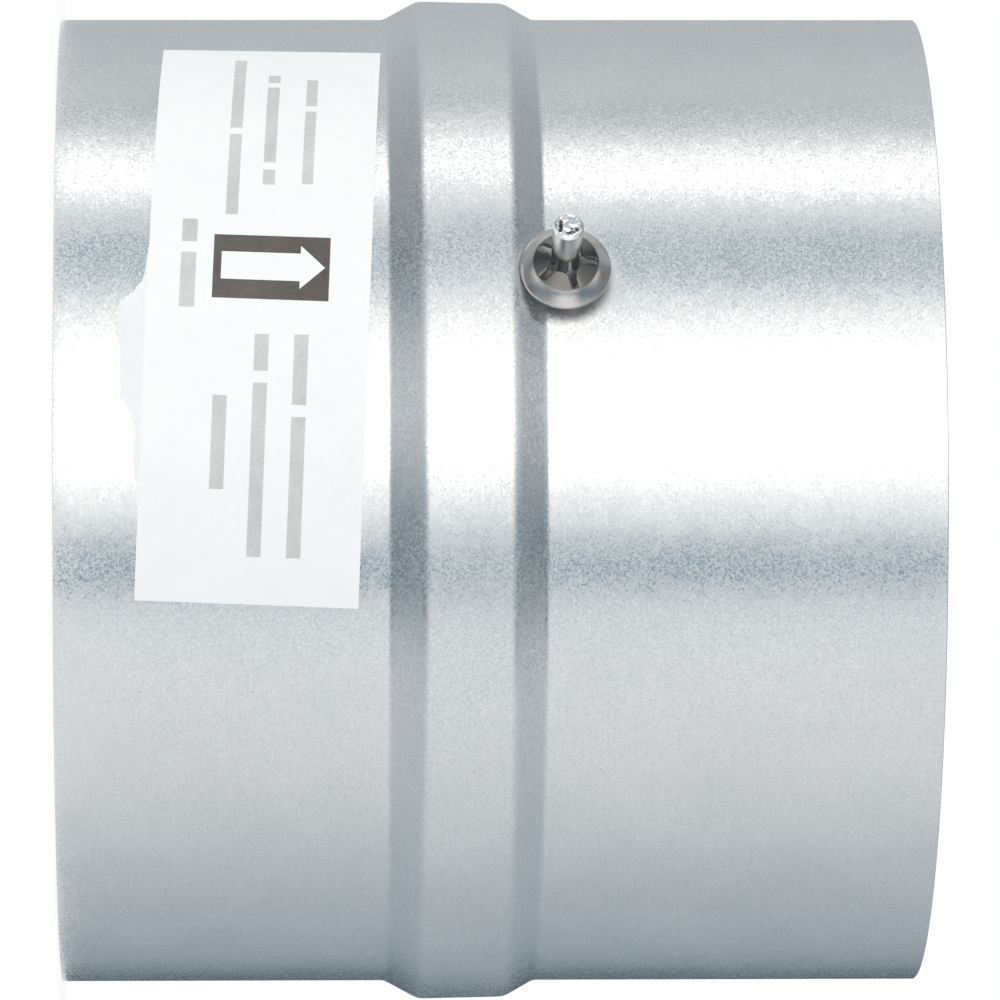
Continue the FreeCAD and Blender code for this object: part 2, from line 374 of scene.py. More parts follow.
dullest, shiniest = press_mark_roughness + press_mark_swing, press_mark_roughness - press_mark_swing
marked = spread(tree, crystal_dullness, shiniest, dullest)
for mask, roughness in ((press_mark, marked), (heated, burnt_roughness), (scratched, burnt_roughness)):
    dullness = math_of(tree, "MAXIMUM", dullness, math_of(tree, "MULTIPLY", mask, roughness))
tree.links.new(dullness, shader.inputs["Roughness"])

casing = new_piece("casing_tube", shape, [galvanised])
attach(casing, "casing_body")
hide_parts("casing")

# Axle: a drawn steel rod, cropped to length at both ends and lightly chamfered.
# It passes through the casing's holes, and the cropped faces keep the tears of the blade.
axle_radius = 1.5
axle_half_length = 60.25
axle_chamfer = 0.3
shoulder_inset = 0.12
shoulder_drop = 0.10
end_length = 7.0
axle_segments = 64
face_rings = 14
crop_depth = 0.03
crop_waver = 0.05
crop_waver_scale = 2.3
crop_waver_slice = 4.0
tears = [
    (-0.06, -0.74, 0.78, 0.19, 0.20),
    (0.50, -0.86, 0.20, 0.16, 0.14),
    (0.78, 0.05, 0.14, 0.36, 0.13),
    (0.66, 0.42, 0.20, 0.34, 0.15),
    (0.34, 0.80, 0.36, 0.17, 0.15),
    (0.30, 0.36, 0.12, 0.14, 0.12),
]


def cropped_depth(across, along):
    """How far the cropped face lies below the rod's end, in mm, at a place on that face."""
    spot = Vector((across * crop_waver_scale, along * crop_waver_scale, crop_waver_slice))
    depth = crop_depth + crop_waver * noise.noise(spot)
    for tear_across, tear_along, half_across, half_along, tear_depth in tears:
        reach = ((across - tear_across) / half_across) ** 2 + ((along - tear_along) / half_along) ** 2
        depth += tear_depth * max(0.0, 1.0 - reach)
    return max(0.0, depth)


shape = bmesh.new()
rings = []
face_radius = axle_radius - axle_chamfer
stations = []
for side in (-1, 1):
    ends = [(face_radius * ring / face_rings, axle_half_length, True) for ring in range(face_rings + 1)]
    ends.append((axle_radius - shoulder_inset, axle_half_length - shoulder_drop, False))
    ends.append((axle_radius, axle_half_length - axle_chamfer, False))
    ends.append((axle_radius, axle_half_length - end_length, False))
    if side > 0:
        ends.reverse()
    stations += [(radius, side * height, torn) for radius, height, torn in ends]
for radius, height, torn in stations:
    ring = []
    for segment in range(axle_segments):
        turn = 2 * math.pi * segment / axle_segments
        across, along = radius * math.cos(turn), radius * math.sin(turn)
        inset = cropped_depth(across, along) if torn and radius < face_radius else 0.0
        deep = height - math.copysign(inset, height)
        ring.append(shape.verts.new((across * MM, deep * MM, (axle_height + along) * MM)))
    rings.append(ring)
for ring, next_ring in zip(rings, rings[1:]):
    for segment in range(axle_segments):
        after = (segment + 1) % axle_segments
        shape.faces.new((ring[segment], ring[after], next_ring[after], next_ring[segment]))
bmesh.ops.remove_doubles(shape, verts=shape.verts, dist=1e-7)

mottle_per_metre = 420.0
mottle_swing = 0.12
mottle_dulling = 0.06
grain = bpy.data.node_groups.new("drawn_grain", "ShaderNodeTree")
for name, kind in (("Scale", "Vector"), ("Depth", "Float")):
    grain.interface.new_socket(name, in_out="INPUT", socket_type="NodeSocket" + kind)
for name in ("Streaks", "Mottle"):
    grain.interface.new_socket(name, in_out="OUTPUT", socket_type="NodeSocketFloat")
given = grain.nodes.new("NodeGroupInput")
result = grain.nodes.new("NodeGroupOutput")
place = put(grain, "TexCoord").outputs["Object"]
drawn = vector_of(grain, "MULTIPLY", place, given.outputs["Scale"])
lines = put(grain, "TexNoise", {"Vector": drawn, "Scale": 1.0, "Detail": 4.0}).outputs["Fac"]
lines = math_of(grain, "MULTIPLY", math_of(grain, "SUBTRACT", lines, 0.5), given.outputs["Depth"])
grain.links.new(math_of(grain, "ADD", lines, 0.5), result.inputs["Streaks"])
mottle = put(grain, "TexNoise", {"Vector": place, "Scale": mottle_per_metre, "Detail": 3.0}).outputs["Fac"]
grain.links.new(mottle, result.inputs["Mottle"])


def drawn_metal(name, dark, light, roughness, scale, depth, bump_height):
    """A metal with streaks along the way it was drawn or rolled, and soft blotches."""
    material, tree, shader = new_metal(name, roughness)
    streaked = tree.nodes.new("ShaderNodeGroup")
    streaked.node_tree = grain
    streaked.inputs["Scale"].default_value = scale
    streaked.inputs["Depth"].default_value = depth
    mottle = streaked.outputs["Mottle"]
    blotches = spread(tree, mottle, -mottle_swing, mottle_swing, *noise_range)
    tone = math_of(tree, "ADD", streaked.outputs["Streaks"], blotches)
    colour = put(tree, "ValToRGB", {"Fac": tone})
    colour.color_ramp.elements[0].color = (*dark, 1.0)
    colour.color_ramp.elements[1].color = (*light, 1.0)
    tree.links.new(colour.outputs["Color"], shader.inputs["Base Color"])
    dull = spread(tree, mottle, roughness - mottle_dulling, roughness + mottle_dulling, *noise_range)
    tree.links.new(dull, shader.inputs["Roughness"])
    ridges = streaked.outputs["Streaks"]
    bump = put(tree, "Bump", {"Height": ridges, "Distance": bump_height * MM, "Strength": 0.6})
    tree.links.new(bump.outputs["Normal"], shader.inputs["Normal"])
    return material, tree, shader


chamfer_steel = (0.98, 0.98, 0.97, 1.0)
cropped_steel = (0.80, 0.79, 0.78, 1.0)
# Nearly black steel: painted shade in the tears of the cropped faces, from a depth at which it starts to a
# depth at which it is full.
tear_painted_shade = (0.16, 0.155, 0.15, 1.0)
tear_shade_start = 0.055
tear_shade_full = 0.11
fresh_cut_full = 0.27
fresh_cut_end = 0.39
bright_steel, tree, shader = drawn_metal(
    "bright_steel",
    dark=(0.40, 0.40, 0.39),
    light=(0.74, 0.73, 0.72),
    roughness=0.15,
    scale=(2600.0, 60.0, 2600.0),
    depth=0.9,
    bump_height=0.006,
)
drawn_colour = shader.inputs["Base Color"].links[0].from_socket
place = put(tree, "SeparateXYZ", {0: put(tree, "TexCoord").outputs["Object"]})
inset = math_of(tree, "SUBTRACT", axle_half_length * MM, math_of(tree, "ABSOLUTE", place.outputs["Y"]))
fresh_cut = spread(tree, inset, 1.0, 0.0, fresh_cut_full * MM, fresh_cut_end * MM)
from_middle = math_of(tree, "SUBTRACT", place.outputs["Z"], axle_height * MM)
from_middle = math_of(tree, "POWER", from_middle, 2.0)
from_middle = math_of(tree, "ADD", from_middle, math_of(tree, "POWER", place.outputs["X"], 2.0))
on_face = math_of(tree, "LESS_THAN", from_middle, (face_radius * MM) ** 2)
# The tears are painted darker the deeper they go below the face: painted shade in the pits.
tear_shade = spread(tree, inset, 0.0, 1.0, tear_shade_start * MM, tear_shade_full * MM)
tear_shade = math_of(tree, "MULTIPLY", tear_shade, on_face)
steel = drawn_colour
for mask, colour in ((fresh_cut, chamfer_steel), (on_face, cropped_steel), (tear_shade, tear_painted_shade)):
    steel = put(tree, "Mix", {"Factor": mask, 6: steel, 7: colour}, data_type="RGBA").outputs[2]
tree.links.new(steel, shader.inputs["Base Color"])
axle = new_piece("axle_rod", shape, [bright_steel], sharp_degrees=28.0)
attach(axle, "casing_body")
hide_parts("axle")

# Retaining washers: domed rings of hardened spring sheet, pressed and slotted in one stroke.
# They are pushed over the axle's ends, and their five bent teeth bite into the rod.
washer_seat = 51.2523
washer_thickness = 0.3
rim_radius = 4.5
root_radius = 3.2
dome_height = 1.1
dome_bulge = 0.06
tip_height = 1.7
slot_half_width = 0.29
slot_end = 2.85
tip_length = 0.9
tip_corner = 0.55
tooth_count = 5
washer_turn = math.radians(-18.0)
tooth_columns = (-1.0, -0.93, -0.75, -0.5, -0.25, 0.0, 0.25, 0.5, 0.75, 0.93, 1.0)
edge_roll = 0.05
# Painted shade on the teeth: how far inside and outside their root it starts and fades, and its nearly black
# colour.
tooth_shade_inset = 0.04
tooth_shade_fade = 0.12
tooth_painted_shade = (0.13, 0.128, 0.125, 1.0)
tooth_rows = [1.5, 1.515, 1.55, 1.62, 1.72, 1.85, 2.0, 2.2, 2.4, 2.6, 2.85, 2.95, 3.03, 3.09, 3.125, 3.14]
ring_rows = [3.2, 3.3, 3.45, 3.6, 3.75, 3.9, 4.05, 4.2, 4.32, 4.42, 4.47, 4.5]


def slot_half_angle(radius):
    """Half of the angle that a slot takes at a radius. Its end and the corners of the tips are round."""
    if radius > slot_end:
        nearness = (radius**2 + slot_end**2 - slot_half_width**2) / (2 * radius * slot_end)
        return math.acos(min(1.0, nearness))
    from_neck = max(0.0, axle_radius + tip_length - radius) / tip_length
    cut_back = tip_corner * (1.0 - math.sqrt(max(0.0, 1.0 - from_neck**2)))
    return math.asin(slot_half_width / radius) + cut_back / radius


def under_height(radius):
    """The height of the washer's underside above its rim, at a radius."""
    if radius >= root_radius:
        share = (rim_radius - radius) / (rim_radius - root_radius)
        return dome_height * share + dome_bulge * math.sqrt(2.0) * 4.0 * share * (1.0 - share)
    share = (root_radius - radius) / (root_radius - axle_radius)
    return dome_height + (tip_height - dome_height) * share


def washer_shape(side):
    """One washer on its end of the axle. side is -1 at the front and 1 at the rear."""
    shape = bmesh.new()
    radii = tooth_rows + ring_rows
    for tooth in range(tooth_count):
        middle = washer_turn + 2 * math.pi * tooth / tooth_count
        layers = []
        for lift in (0.0, washer_thickness):
            rows = []
            for radius in radii:
                slotted = radius < tooth_rows[-1]
                half = math.pi / tooth_count - (slot_half_angle(radius) if slotted else 0.0)
                row = []
                for column in tooth_columns:
                    at_end = radius in (radii[0], radii[-1])
                    at_slot = slotted and abs(column) == 1.0
                    rolled_over = lift > 0.0 and (at_end or at_slot)
                    height = under_height(radius) + lift - (edge_roll if rolled_over else 0.0)
                    turn = middle + half * column
                    across, along = radius * math.cos(turn), radius * math.sin(turn)
                    spot = Vector((across, side * (washer_seat + height), axle_height - side * along))
                    row.append(shape.verts.new(spot * MM))
                rows.append(row)
            layers.append(rows)
        last = len(tooth_columns) - 1
        for rows in layers:
            for row, next_row in zip(rows, rows[1:]):
                for column in range(last):
                    shape.faces.new((row[column], row[column + 1], next_row[column + 1], next_row[column]))
        for number in range(len(tooth_rows) - 1):
            for column in (0, last):
                low, high = [[rows[number + step][column] for step in (0, 1)] for rows in layers]
                shape.faces.new((low[0], low[1], high[1], high[0]))
        for number in (0, len(radii) - 1):
            for column in range(last):
                low, high = [rows[number][column:column + 2] for rows in layers]
                shape.faces.new((low[0], low[1], high[1], high[0]))
    bmesh.ops.remove_doubles(shape, verts=shape.verts, dist=1e-7)
    return shape


spring_steel, tree, shader = drawn_metal(
    "spring_steel",
    dark=(0.42, 0.40, 0.38),
    light=(0.88, 0.85, 0.82),
    roughness=0.20,
    scale=(900.0, 900.0, 900.0),
    depth=0.5,
    bump_height=0.006,
)
burnished = shader.inputs["Base Color"].links[0].from_socket
place = put(tree, "SeparateXYZ", {0: put(tree, "TexCoord").outputs["Object"]})
up = math_of(tree, "SUBTRACT", place.outputs["Z"], axle_height * MM)
reach = put(tree, "CombineXYZ", {"X": place.outputs["X"], "Y": up})
reach = put(tree, "VectorMath", {0: reach.outputs[0]}, operation="LENGTH").outputs["Value"]
# The teeth inside the dome are painted nearly black. This is painted shade for the shade under the dome and
# round the rod, and the steel is not dark there.
tooth_shade_mask = spread(tree, reach, 1.0, 0.0, (root_radius - tooth_shade_inset) * MM, (root_radius + tooth_shade_fade) * MM)
teeth_with_painted_shade = put(tree, "Mix", {"Factor": tooth_shade_mask, 6: burnished, 7: tooth_painted_shade}, data_type="RGBA")
tree.links.new(teeth_with_painted_shade.outputs[2], shader.inputs["Base Color"])
for name, side in (("front", -1), ("rear", 1)):
    washer = new_piece("washer_" + name, washer_shape(side), [spring_steel], sharp_degrees=38.0)
    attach(washer, "casing_body")
    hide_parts("retaining_washer_" + name)

# Blades: two half discs stamped from mill finish aluminium sheet.
# Their hinge edges are rolled into knuckles that turn on the axle.
aluminium = drawn_metal(
    "aluminium_sheet",
    dark=(0.62, 0.63, 0.64),
    light=(0.93, 0.93, 0.94),
    roughness=0.34,
    scale=(2400.0, 45.0, 700.0),
    depth=0.8,
    bump_height=0.008,
)[0]
for name in ("blade_left", "blade_right"):
    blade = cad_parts[name]
    blade.data.materials.clear()
    blade.data.materials.append(aluminium)

# Return spring: one length of drawn wire, wound round the axle between the knuckles.
# A leg leaves each end of the coil and presses its bent foot on one blade.
wire_radius = 0.35
coil_radius = 2.2
coil_turns = 5
coil_pitch = 1.5
leg_length = 18.0
foot_length = 4.0
foot_bend = 1.2
foot_steps = 8
leg_shares = (0.04, 0.1, 0.3, 0.6, 0.9, 1.0)
knuckle_radius = 1.56
foot_gap = 0.04
foot_height = knuckle_radius - wire_radius - foot_gap
blade_lean = math.radians(15.0)
turn_steps = 36
wire_sides = 14
leg_drop = math.atan(coil_radius / leg_length)
leg_drop += math.asin(foot_height / math.hypot(coil_radius, leg_length))
past_top = blade_lean - leg_drop
full_turns = coil_turns - past_top / math.pi
half_coil = full_turns * coil_pitch / 2
climb = coil_pitch / (2 * math.pi * coil_radius)


def wire_path(side):
    """The middle line of half of the spring, from the coil's middle to the foot on the side's blade."""
    path = []
    steps = round(full_turns / 2 * turn_steps)
    for step in range(steps + 1):
        share = step / steps
        angle = math.pi / 2 + side * (past_top + math.pi * full_turns * (1.0 - share))
        across, up = coil_radius * math.cos(angle), coil_radius * math.sin(angle)
        path.append(Vector((across, side * half_coil * share, up)))
    away = Vector((side * math.cos(past_top), side * climb, math.sin(past_top)))
    away.normalize()
    knee = path[-1] + away * (leg_length * math.hypot(1.0, climb))
    foot = Vector((0.0, side, 0.0))
    turn = away.angle(foot)
    tangent = foot_bend * math.tan(turn / 2)
    leg_end = knee - away * tangent
    path += [path[-1].lerp(leg_end, share) for share in leg_shares]
    inward = (foot - away * foot.dot(away)).normalized()
    for step in range(1, foot_steps + 1):
        angle = turn * step / foot_steps
        bent = away * math.sin(angle) + inward * (1.0 - math.cos(angle))
        path.append(leg_end + bent * foot_bend)
    path.append(knee + foot * foot_length)
    return [(spot + Vector((0.0, 0.0, axle_height))) * MM for spot in path]


def wire_shape(path, radius):
    """A round wire along a path, closed at both ends."""
    shape = bmesh.new()
    rings = []
    across = None
    for number, spot in enumerate(path):
        before, after = path[max(number - 1, 0)], path[min(number + 1, len(path) - 1)]
        ahead = (after - before).normalized()
        if across is None:
            across = ahead.orthogonal().normalized()
        across = (across - ahead * across.dot(ahead)).normalized()
        other = ahead.cross(across)
        ring = []
        for corner in range(wire_sides):
            turn = 2 * math.pi * corner / wire_sides
            ring.append(shape.verts.new(spot + (across * math.cos(turn) + other * math.sin(turn)) * radius))
        rings.append(ring)
    for ring, next_ring in zip(rings, rings[1:]):
        for corner in range(wire_sides):
            after = (corner + 1) % wire_sides
            shape.faces.new((ring[corner], ring[after], next_ring[after], next_ring[corner]))
    shape.faces.new(rings[0])
    shape.faces.new(rings[-1])
    return shape


spring_wire = drawn_metal(
    "spring_wire",
    dark=(0.30, 0.30, 0.29),
    light=(0.74, 0.74, 0.73),
    roughness=0.3,
    scale=(1500.0, 1500.0, 1500.0),
    depth=0.7,
    bump_height=0.005,
)[0]
for name, side in (("left", -1), ("right", 1)):
    shape = wire_shape(wire_path(side), wire_radius * MM)
    spring = new_piece("spring_half_" + name, shape, [spring_wire], sharp_degrees=50.0)
    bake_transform(spring)
    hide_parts("return_spring")

# Flow label: a tilted slip of white paper, stuck on the inlet side with its end against the bead.
# The arrow shows the way the air goes, and grey bars stand where there would be words.
label_radius = 49.80
label_thickness = 0.1
label_half_width = 11.0
label_half_height = 33.75
label_tilt = math.radians(2.3)
label_middle = 20.347
label_shift = -0.5
corner_lift = 0.08
lift_start_around = 0.8
lift_start_up = 0.6
bend_step = 1.25
fold_step = 2.2
panel = (-4.05, 3.1, -4.6, 6.9)
arrow_shaft = (-2.1, 1.0, -3.8, 4.0)
arrow_head = [(-3.0, 4.0), (1.86, 4.0), (-0.57, 6.45)]
word_bars = [
    (-27.1, -22.2, 3.8, 4.9),
    (-21.3, -10.6, 3.8, 4.9),
    (-27.9, -26.4, -0.1, 1.1),
    (-25.5, -13.4, -0.1, 1.1),
    (-12.4, -10.4, -0.1, 1.1),
    (-31.2, -18.4, -3.6, -2.4),
    (-17.4, -6.5, -3.6, -2.4),
    (-5.8, -3.1, -7.8, -6.3),
    (-1.9, 4.2, -7.8, -6.3),
    (6.7, 13.9, 3.7, 5.1),
    (15.1, 29.0, 3.7, 5.1),
    (6.8, 10.6, -0.2, 1.2),
    (11.8, 29.0, -0.2, 1.2),
    (13.2, 22.5, -4.1, -2.7),
]


def on_casing(around, up, height):
    """A place on the label, from its middle and a height above the wall, as a point in the frame."""
    turned_around = around * math.cos(label_tilt) + up * math.sin(label_tilt)
    turned_up = up * math.cos(label_tilt) - around * math.sin(label_tilt)
    angle = (label_shift + turned_around) / label_radius
    radius = label_radius + height
    return Vector((radius * math.sin(angle), -radius * math.cos(angle), label_middle + turned_up)) * MM


def cut_across(shape, faces, spot, normal):
    """Cuts flat faces along a line through a spot."""
    geometry = list({item for face in faces for item in (face, *face.edges, *face.verts)})
    bmesh.ops.bisect_plane(shape, geom=geometry, plane_co=(*spot, 0.0), plane_no=(*normal, 0.0), dist=1e-6)


def stuck_paper(shape, thickness, lift):
    """Gives a flat outline its thickness and lays it on the casing. lift raises a place on it, in mm."""
    flat = list(shape.faces)
    under = bmesh.ops.duplicate(shape, geom=flat)
    lower = {item for item in under["geom"] if isinstance(item, bmesh.types.BMVert)}
    top_of = under["vert_map"]
    border = [edge for edge in shape.edges if edge.is_boundary and edge.verts[0] not in lower]
    for edge in border:
        first, second = edge.verts
        wall = shape.faces.new((first, second, top_of[second], top_of[first]))
        wall.material_index = 0
    for vert in shape.verts:
        around, up = vert.co.x, vert.co.y
        height = lift(around, up) + (0.0 if vert in lower else thickness)
        vert.co = on_casing(around, up, height)
    return shape


def inside(box, around, up):
    """Whether a place is in a box of (lowest and highest round, lowest and highest up)."""
    return box[0] < around < box[1] and box[2] < up < box[3]


def in_arrow(around, up):
    """Whether a place on the label is in the arrow."""
    if inside(arrow_shaft, around, up):
        return True
    (left, base), (right, base), (tip_around, tip) = arrow_head
    if not base < up < tip:
        return False
    share = (up - base) / (tip - base)
    return left + (tip_around - left) * share < around < right + (tip_around - right) * share


def label_lift(around, up):
    """The corners of the label's free end have come up a little."""
    end = max(0.0, around / label_half_height - lift_start_around) / (1.0 - lift_start_around)
    edge = max(0.0, abs(up) / label_half_width - lift_start_up) / (1.0 - lift_start_up)
    return corner_lift * end * edge


shape = bmesh.new()
corners = [(-label_half_height, -label_half_width), (label_half_height, -label_half_width)]
corners += [(label_half_height, label_half_width), (-label_half_height, label_half_width)]
shape.faces.new([shape.verts.new((*corner, 0.0)) for corner in corners])
bends = int(label_half_height / bend_step - 0.5)
folds = int(label_half_width / fold_step - 0.5)
cuts_around = [number * bend_step for number in range(-bends, bends + 1)]
cuts_up = [number * fold_step for number in range(-folds, folds + 1)]
for box in word_bars + [panel, arrow_shaft]:
    cuts_around += box[:2]
    cuts_up += box[2:]
cuts_around += [spot[0] for spot in arrow_head]
cuts_up += [spot[1] for spot in arrow_head]
for around in sorted(set(cuts_around)):
    cut_across(shape, shape.faces, (around, 0.0), (1.0, 0.0))
for up in sorted(set(cuts_up)):
    cut_across(shape, shape.faces, (0.0, up), (0.0, 1.0))
tip = Vector(arrow_head[2])
head_box = (arrow_head[0][0], arrow_head[1][0], arrow_head[0][1], arrow_head[2][1])
for corner in arrow_head[:2]:
    slope = tip - Vector(corner)
    head_faces = [face for face in shape.faces if inside(head_box, *face.calc_center_median().xy)]
    cut_across(shape, head_faces, tip, (slope.y, -slope.x))
for face in shape.faces:
    around, up = face.calc_center_median().xy
    if inside(panel, around, up):
        face.material_index = 0 if in_arrow(around, up) else 1
    elif any(inside(box, around, up) for box in word_bars):
        face.material_index = 2
stuck_paper(shape, label_thickness, label_lift)

threads_per_metre = 2600.0
blotches_per_metre = 240.0
tooth_height = 0.01
paper_gloss = 0.3
fibre = bpy.data.node_groups.new("paper_fibre", "ShaderNodeTree")
fibre.interface.new_socket("Depth", in_out="INPUT", socket_type="NodeSocketFloat")
for name in ("Tone", "Fibre"):
    fibre.interface.new_socket(name, in_out="OUTPUT", socket_type="NodeSocketFloat")
given = fibre.nodes.new("NodeGroupInput")
result = fibre.nodes.new("NodeGroupOutput")
place = put(fibre, "TexCoord").outputs["Object"]
thread_look = {"Vector": place, "Scale": threads_per_metre, "Detail": 5.0, "Distortion": 1.2}
threads = put(fibre, "TexNoise", thread_look).outputs["Fac"]
blotch_look = {"Vector": place, "Scale": blotches_per_metre, "Detail": 2.0}
blotches = put(fibre, "TexNoise", blotch_look).outputs["Fac"]
both = math_of(fibre, "MULTIPLY", math_of(fibre, "ADD", threads, blotches), 0.5)
both = math_of(fibre, "MULTIPLY", math_of(fibre, "SUBTRACT", both, 0.5), given.outputs["Depth"])
fibre.links.new(math_of(fibre, "ADD", both, 0.5), result.inputs["Tone"])
fibre.links.new(threads, result.inputs["Fibre"])


def paper_finish(name, dark, light, depth, roughness):
    """Paper or ink on paper: fibres in its tone and a faint tooth."""
    material = bpy.data.materials.new(name)
    material.use_nodes = True
    tree = material.node_tree
    shader = tree.nodes["Principled BSDF"]
    shader.inputs["Roughness"].default_value = roughness
    shader.inputs["Specular IOR Level"].default_value = paper_gloss
    fibres = tree.nodes.new("ShaderNodeGroup")
    fibres.node_tree = fibre
    fibres.inputs["Depth"].default_value = depth
    colour = put(tree, "ValToRGB", {"Fac": fibres.outputs["Tone"]})
    colour.color_ramp.elements[0].color = (*dark, 1.0)
    colour.color_ramp.elements[1].color = (*light, 1.0)
    tree.links.new(colour.outputs["Color"], shader.inputs["Base Color"])
    tooth = fibres.outputs["Fibre"]
    bump = put(tree, "Bump", {"Height": tooth, "Distance": tooth_height * MM, "Strength": 0.4})
    tree.links.new(bump.outputs["Normal"], shader.inputs["Normal"])
    return material


white_paper = paper_finish("label_paper", (0.84, 0.84, 0.85), (0.97, 0.97, 0.97), depth=1.0, roughness=0.5)
dark_ink = paper_finish("dark_ink", (0.06, 0.05, 0.047), (0.17, 0.15, 0.14), depth=1.4, roughness=0.42)
grey_ink = paper_finish("grey_ink", (0.46, 0.46, 0.46), (0.74, 0.74, 0.74), depth=1.4, roughness=0.45)
label = new_piece("label_slip", shape, [white_paper, dark_ink, grey_ink], sharp_degrees=30.0)
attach(label, "casing_body")
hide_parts("flow_label")

# Label remnant: the backing of an older label that tore away and left its glued edge.
# It shows along the inlet side of the label, thin enough for the zinc to tint it.
remnant_thickness = 0.05
remnant_width = 2.9
remnant_length = 26.3
remnant_offset = -3.0
tear_step = 0.3
tear_wander = 0.09
torn_edge = [(0.0, 0.0), (0.16, 0.14), (0.22, 0.45), (0.26, 0.93), (0.36, 1.0), (0.46, 0.8)]
torn_edge += [(0.63, 0.76), (0.69, 0.38), (0.78, 0.2), (0.89, 0.24), (1.0, 0.0)]

ragged = random.Random(7)
outline = []
corners = []
for far, out in torn_edge:
    corners.append(Vector((remnant_offset + far * remnant_length, -label_half_width - out * remnant_width)))
for start, end in zip(corners, corners[1:]):
    steps = max(1, round((end - start).length / tear_step))
    across = Vector((end.y - start.y, start.x - end.x)).normalized()
    for step in range(steps):
        wander = 0.0 if not outline else ragged.uniform(-tear_wander, tear_wander)
        spot = start.lerp(end, step / steps) + across * wander
        outline.append(Vector((spot.x, min(spot.y, -label_half_width))))
outline.append(corners[-1])
shape = bmesh.new()
shape.faces.new([shape.verts.new((*spot, 0.0)) for spot in outline])
for number in range(1, round(remnant_length / bend_step)):
    cut_across(shape, shape.faces, (remnant_offset + number * bend_step, 0.0), (1.0, 0.0))
stuck_paper(shape, remnant_thickness, lambda around, up: 0.0)
torn_paper = paper_finish("torn_paper", (0.76, 0.78, 0.80), (0.94, 0.95, 0.96), depth=1.6, roughness=0.6)
remnant = new_piece("label_scrap", shape, [torn_paper], sharp_degrees=30.0)
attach(remnant, "casing_body")
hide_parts("label_remnant")

# Studio: a small round stand of pale card under the inlet rim, and white paper behind the object.
# The walls of the room show in the metal as bands, and two soft boxes light the paper label.
camera_azimuth = 26.4
stand_radius = 58.0
stand_fade = 6.0
stand_gap = 0.05
stand_segments = 128
stand_card = (0.85, 0.85, 0.85, 1.0)
stand_roughness = 0.8
stand_whiteness = 0.93

shape = bmesh.new()
bmesh.ops.create_circle(shape, cap_ends=True, segments=stand_segments, radius=stand_radius * MM)
floor_paint = bpy.data.materials.new("studio_floor")
floor_paint.use_nodes = True
tree = floor_paint.node_tree
shader = tree.nodes["Principled BSDF"]
shader.inputs["Base Color"].default_value = stand_card
shader.inputs["Roughness"].default_value = stand_roughness
white = put(tree, "Emission", {"Color": (1.0, 1.0, 1.0, 1.0), "Strength": 1.0})
rays = put(tree, "LightPath").outputs
seen = math_of(tree, "MAXIMUM", rays["Is Camera Ray"], rays["Is Transmission Ray"])
seen = math_of(tree, "MAXIMUM", seen, rays["Is Glossy Ray"])
place = put(tree, "TexCoord").outputs["Object"]
reach = put(tree, "VectorMath", {0: place}, operation="LENGTH").outputs["Value"]
shadowless = spread(tree, reach, stand_whiteness, 1.0, (stand_radius - stand_fade) * MM, stand_radius * MM)
share = math_of(tree, "MULTIPLY", seen, shadowless)
floor_mix = put(tree, "MixShader", {0: share, 1: shader.outputs[0], 2: white.outputs[0]})
tree.links.new(floor_mix.outputs[0], tree.nodes["Material Output"].inputs["Surface"])
floor = new_piece("studio_floor", shape, [floor_paint])
floor.location.z = -stand_gap * MM
floor.visible_shadow = False

scene = bpy.context.scene
scene.view_settings.view_transform = "Standard"
surround = bpy.data.worlds.new("studio_surround")
surround.use_nodes = True
scene.world = surround
tree = surround.node_tree
direction = put(tree, "TexCoord").outputs["Generated"]
facing_camera = (0.0, 0.0, math.radians(90.0 - camera_azimuth))
turned = put(tree, "Mapping", {"Vector": direction, "Rotation": facing_camera})
round_room = put(tree, "TexGradient", {"Vector": turned.outputs[0]}, gradient_type="RADIAL").outputs["Fac"]

# Each wall light is an angle round the room from the camera, in degrees, and the brightness there.
eye_level = [
    (180.0, 0.49),
    (140.0, 0.64),
    (112.0, 0.74),
    (104.0, 0.62),
    (98.0, 0.75),
    (92.0, 1.16),
    (86.0, 1.94),
    (80.0, 2.23),
    (76.0, 1.08),
    (72.0, 0.86),
    (68.0, 0.90),
    (64.0, 0.53),
    (59.0, 0.60),
    (54.0, 0.61),
    (48.0, 1.12),
    (43.0, 1.35),
    (38.0, 1.68),
    (10.0, 2.50),
    (4.0, 1.32),
    (-1.0, 1.22),
    (-6.0, 1.01),
    (-10.0, 0.63),
    (-14.0, 0.43),
    (-18.0, 0.51),
    (-22.0, 0.92),
    (-26.0, 1.02),
    (-50.0, 0.97),
    (-77.0, 0.82),
    (-97.0, 0.66),
    (-139.0, 0.44),
    (-158.0, 0.16),
    (-180.0, 0.06),
]
high_and_low = [
    (180.0, 0.60),
    (118.0, 0.50),
    (99.0, 0.46),
    (82.0, 0.35),
    (73.0, 0.24),
    (64.0, 0.34),
    (55.0, 0.57),
    (46.0, 0.74),
    (28.0, 0.82),
    (18.0, 0.71),
    (8.0, 0.60),
    (0.0, 0.41),
    (-10.0, 0.31),
    (-22.0, 0.29),
    (-30.0, 0.40),
    (-39.0, 0.60),
    (-48.0, 0.74),
    (-66.0, 0.70),
    (-83.0, 0.66),
    (-100.0, 0.59),
    (-119.0, 0.52),
    (-140.0, 0.48),
    (-151.0, 0.40),
    (-180.0, 0.20),
]
brightest = 2.5

# The bright walls are a little warm. The dim ones are cool, most of all between the bright ones.
lower_coolness = 1.4
upper_coolness = 0.8
eye_level_coolness = 2.5
flank_coolness = 1.5
middle_angles = (-20.0, 70.0)
warm_above = 1.0
warm_full = 1.5
warm_red_gain = 0.04
warm_blue_loss = 0.05
cool_below = 0.8
cool_red_loss = 0.28
cool_blue_gain = 0.2
eye_level_end = 0.22
high_and_low_start = 0.52
ceiling_start = 0.84
ceiling_full = 0.94
ceiling = (0.104, 0.108, 0.112, 1.0)
paper_half_width = 5.0
paper_edge = 6.0


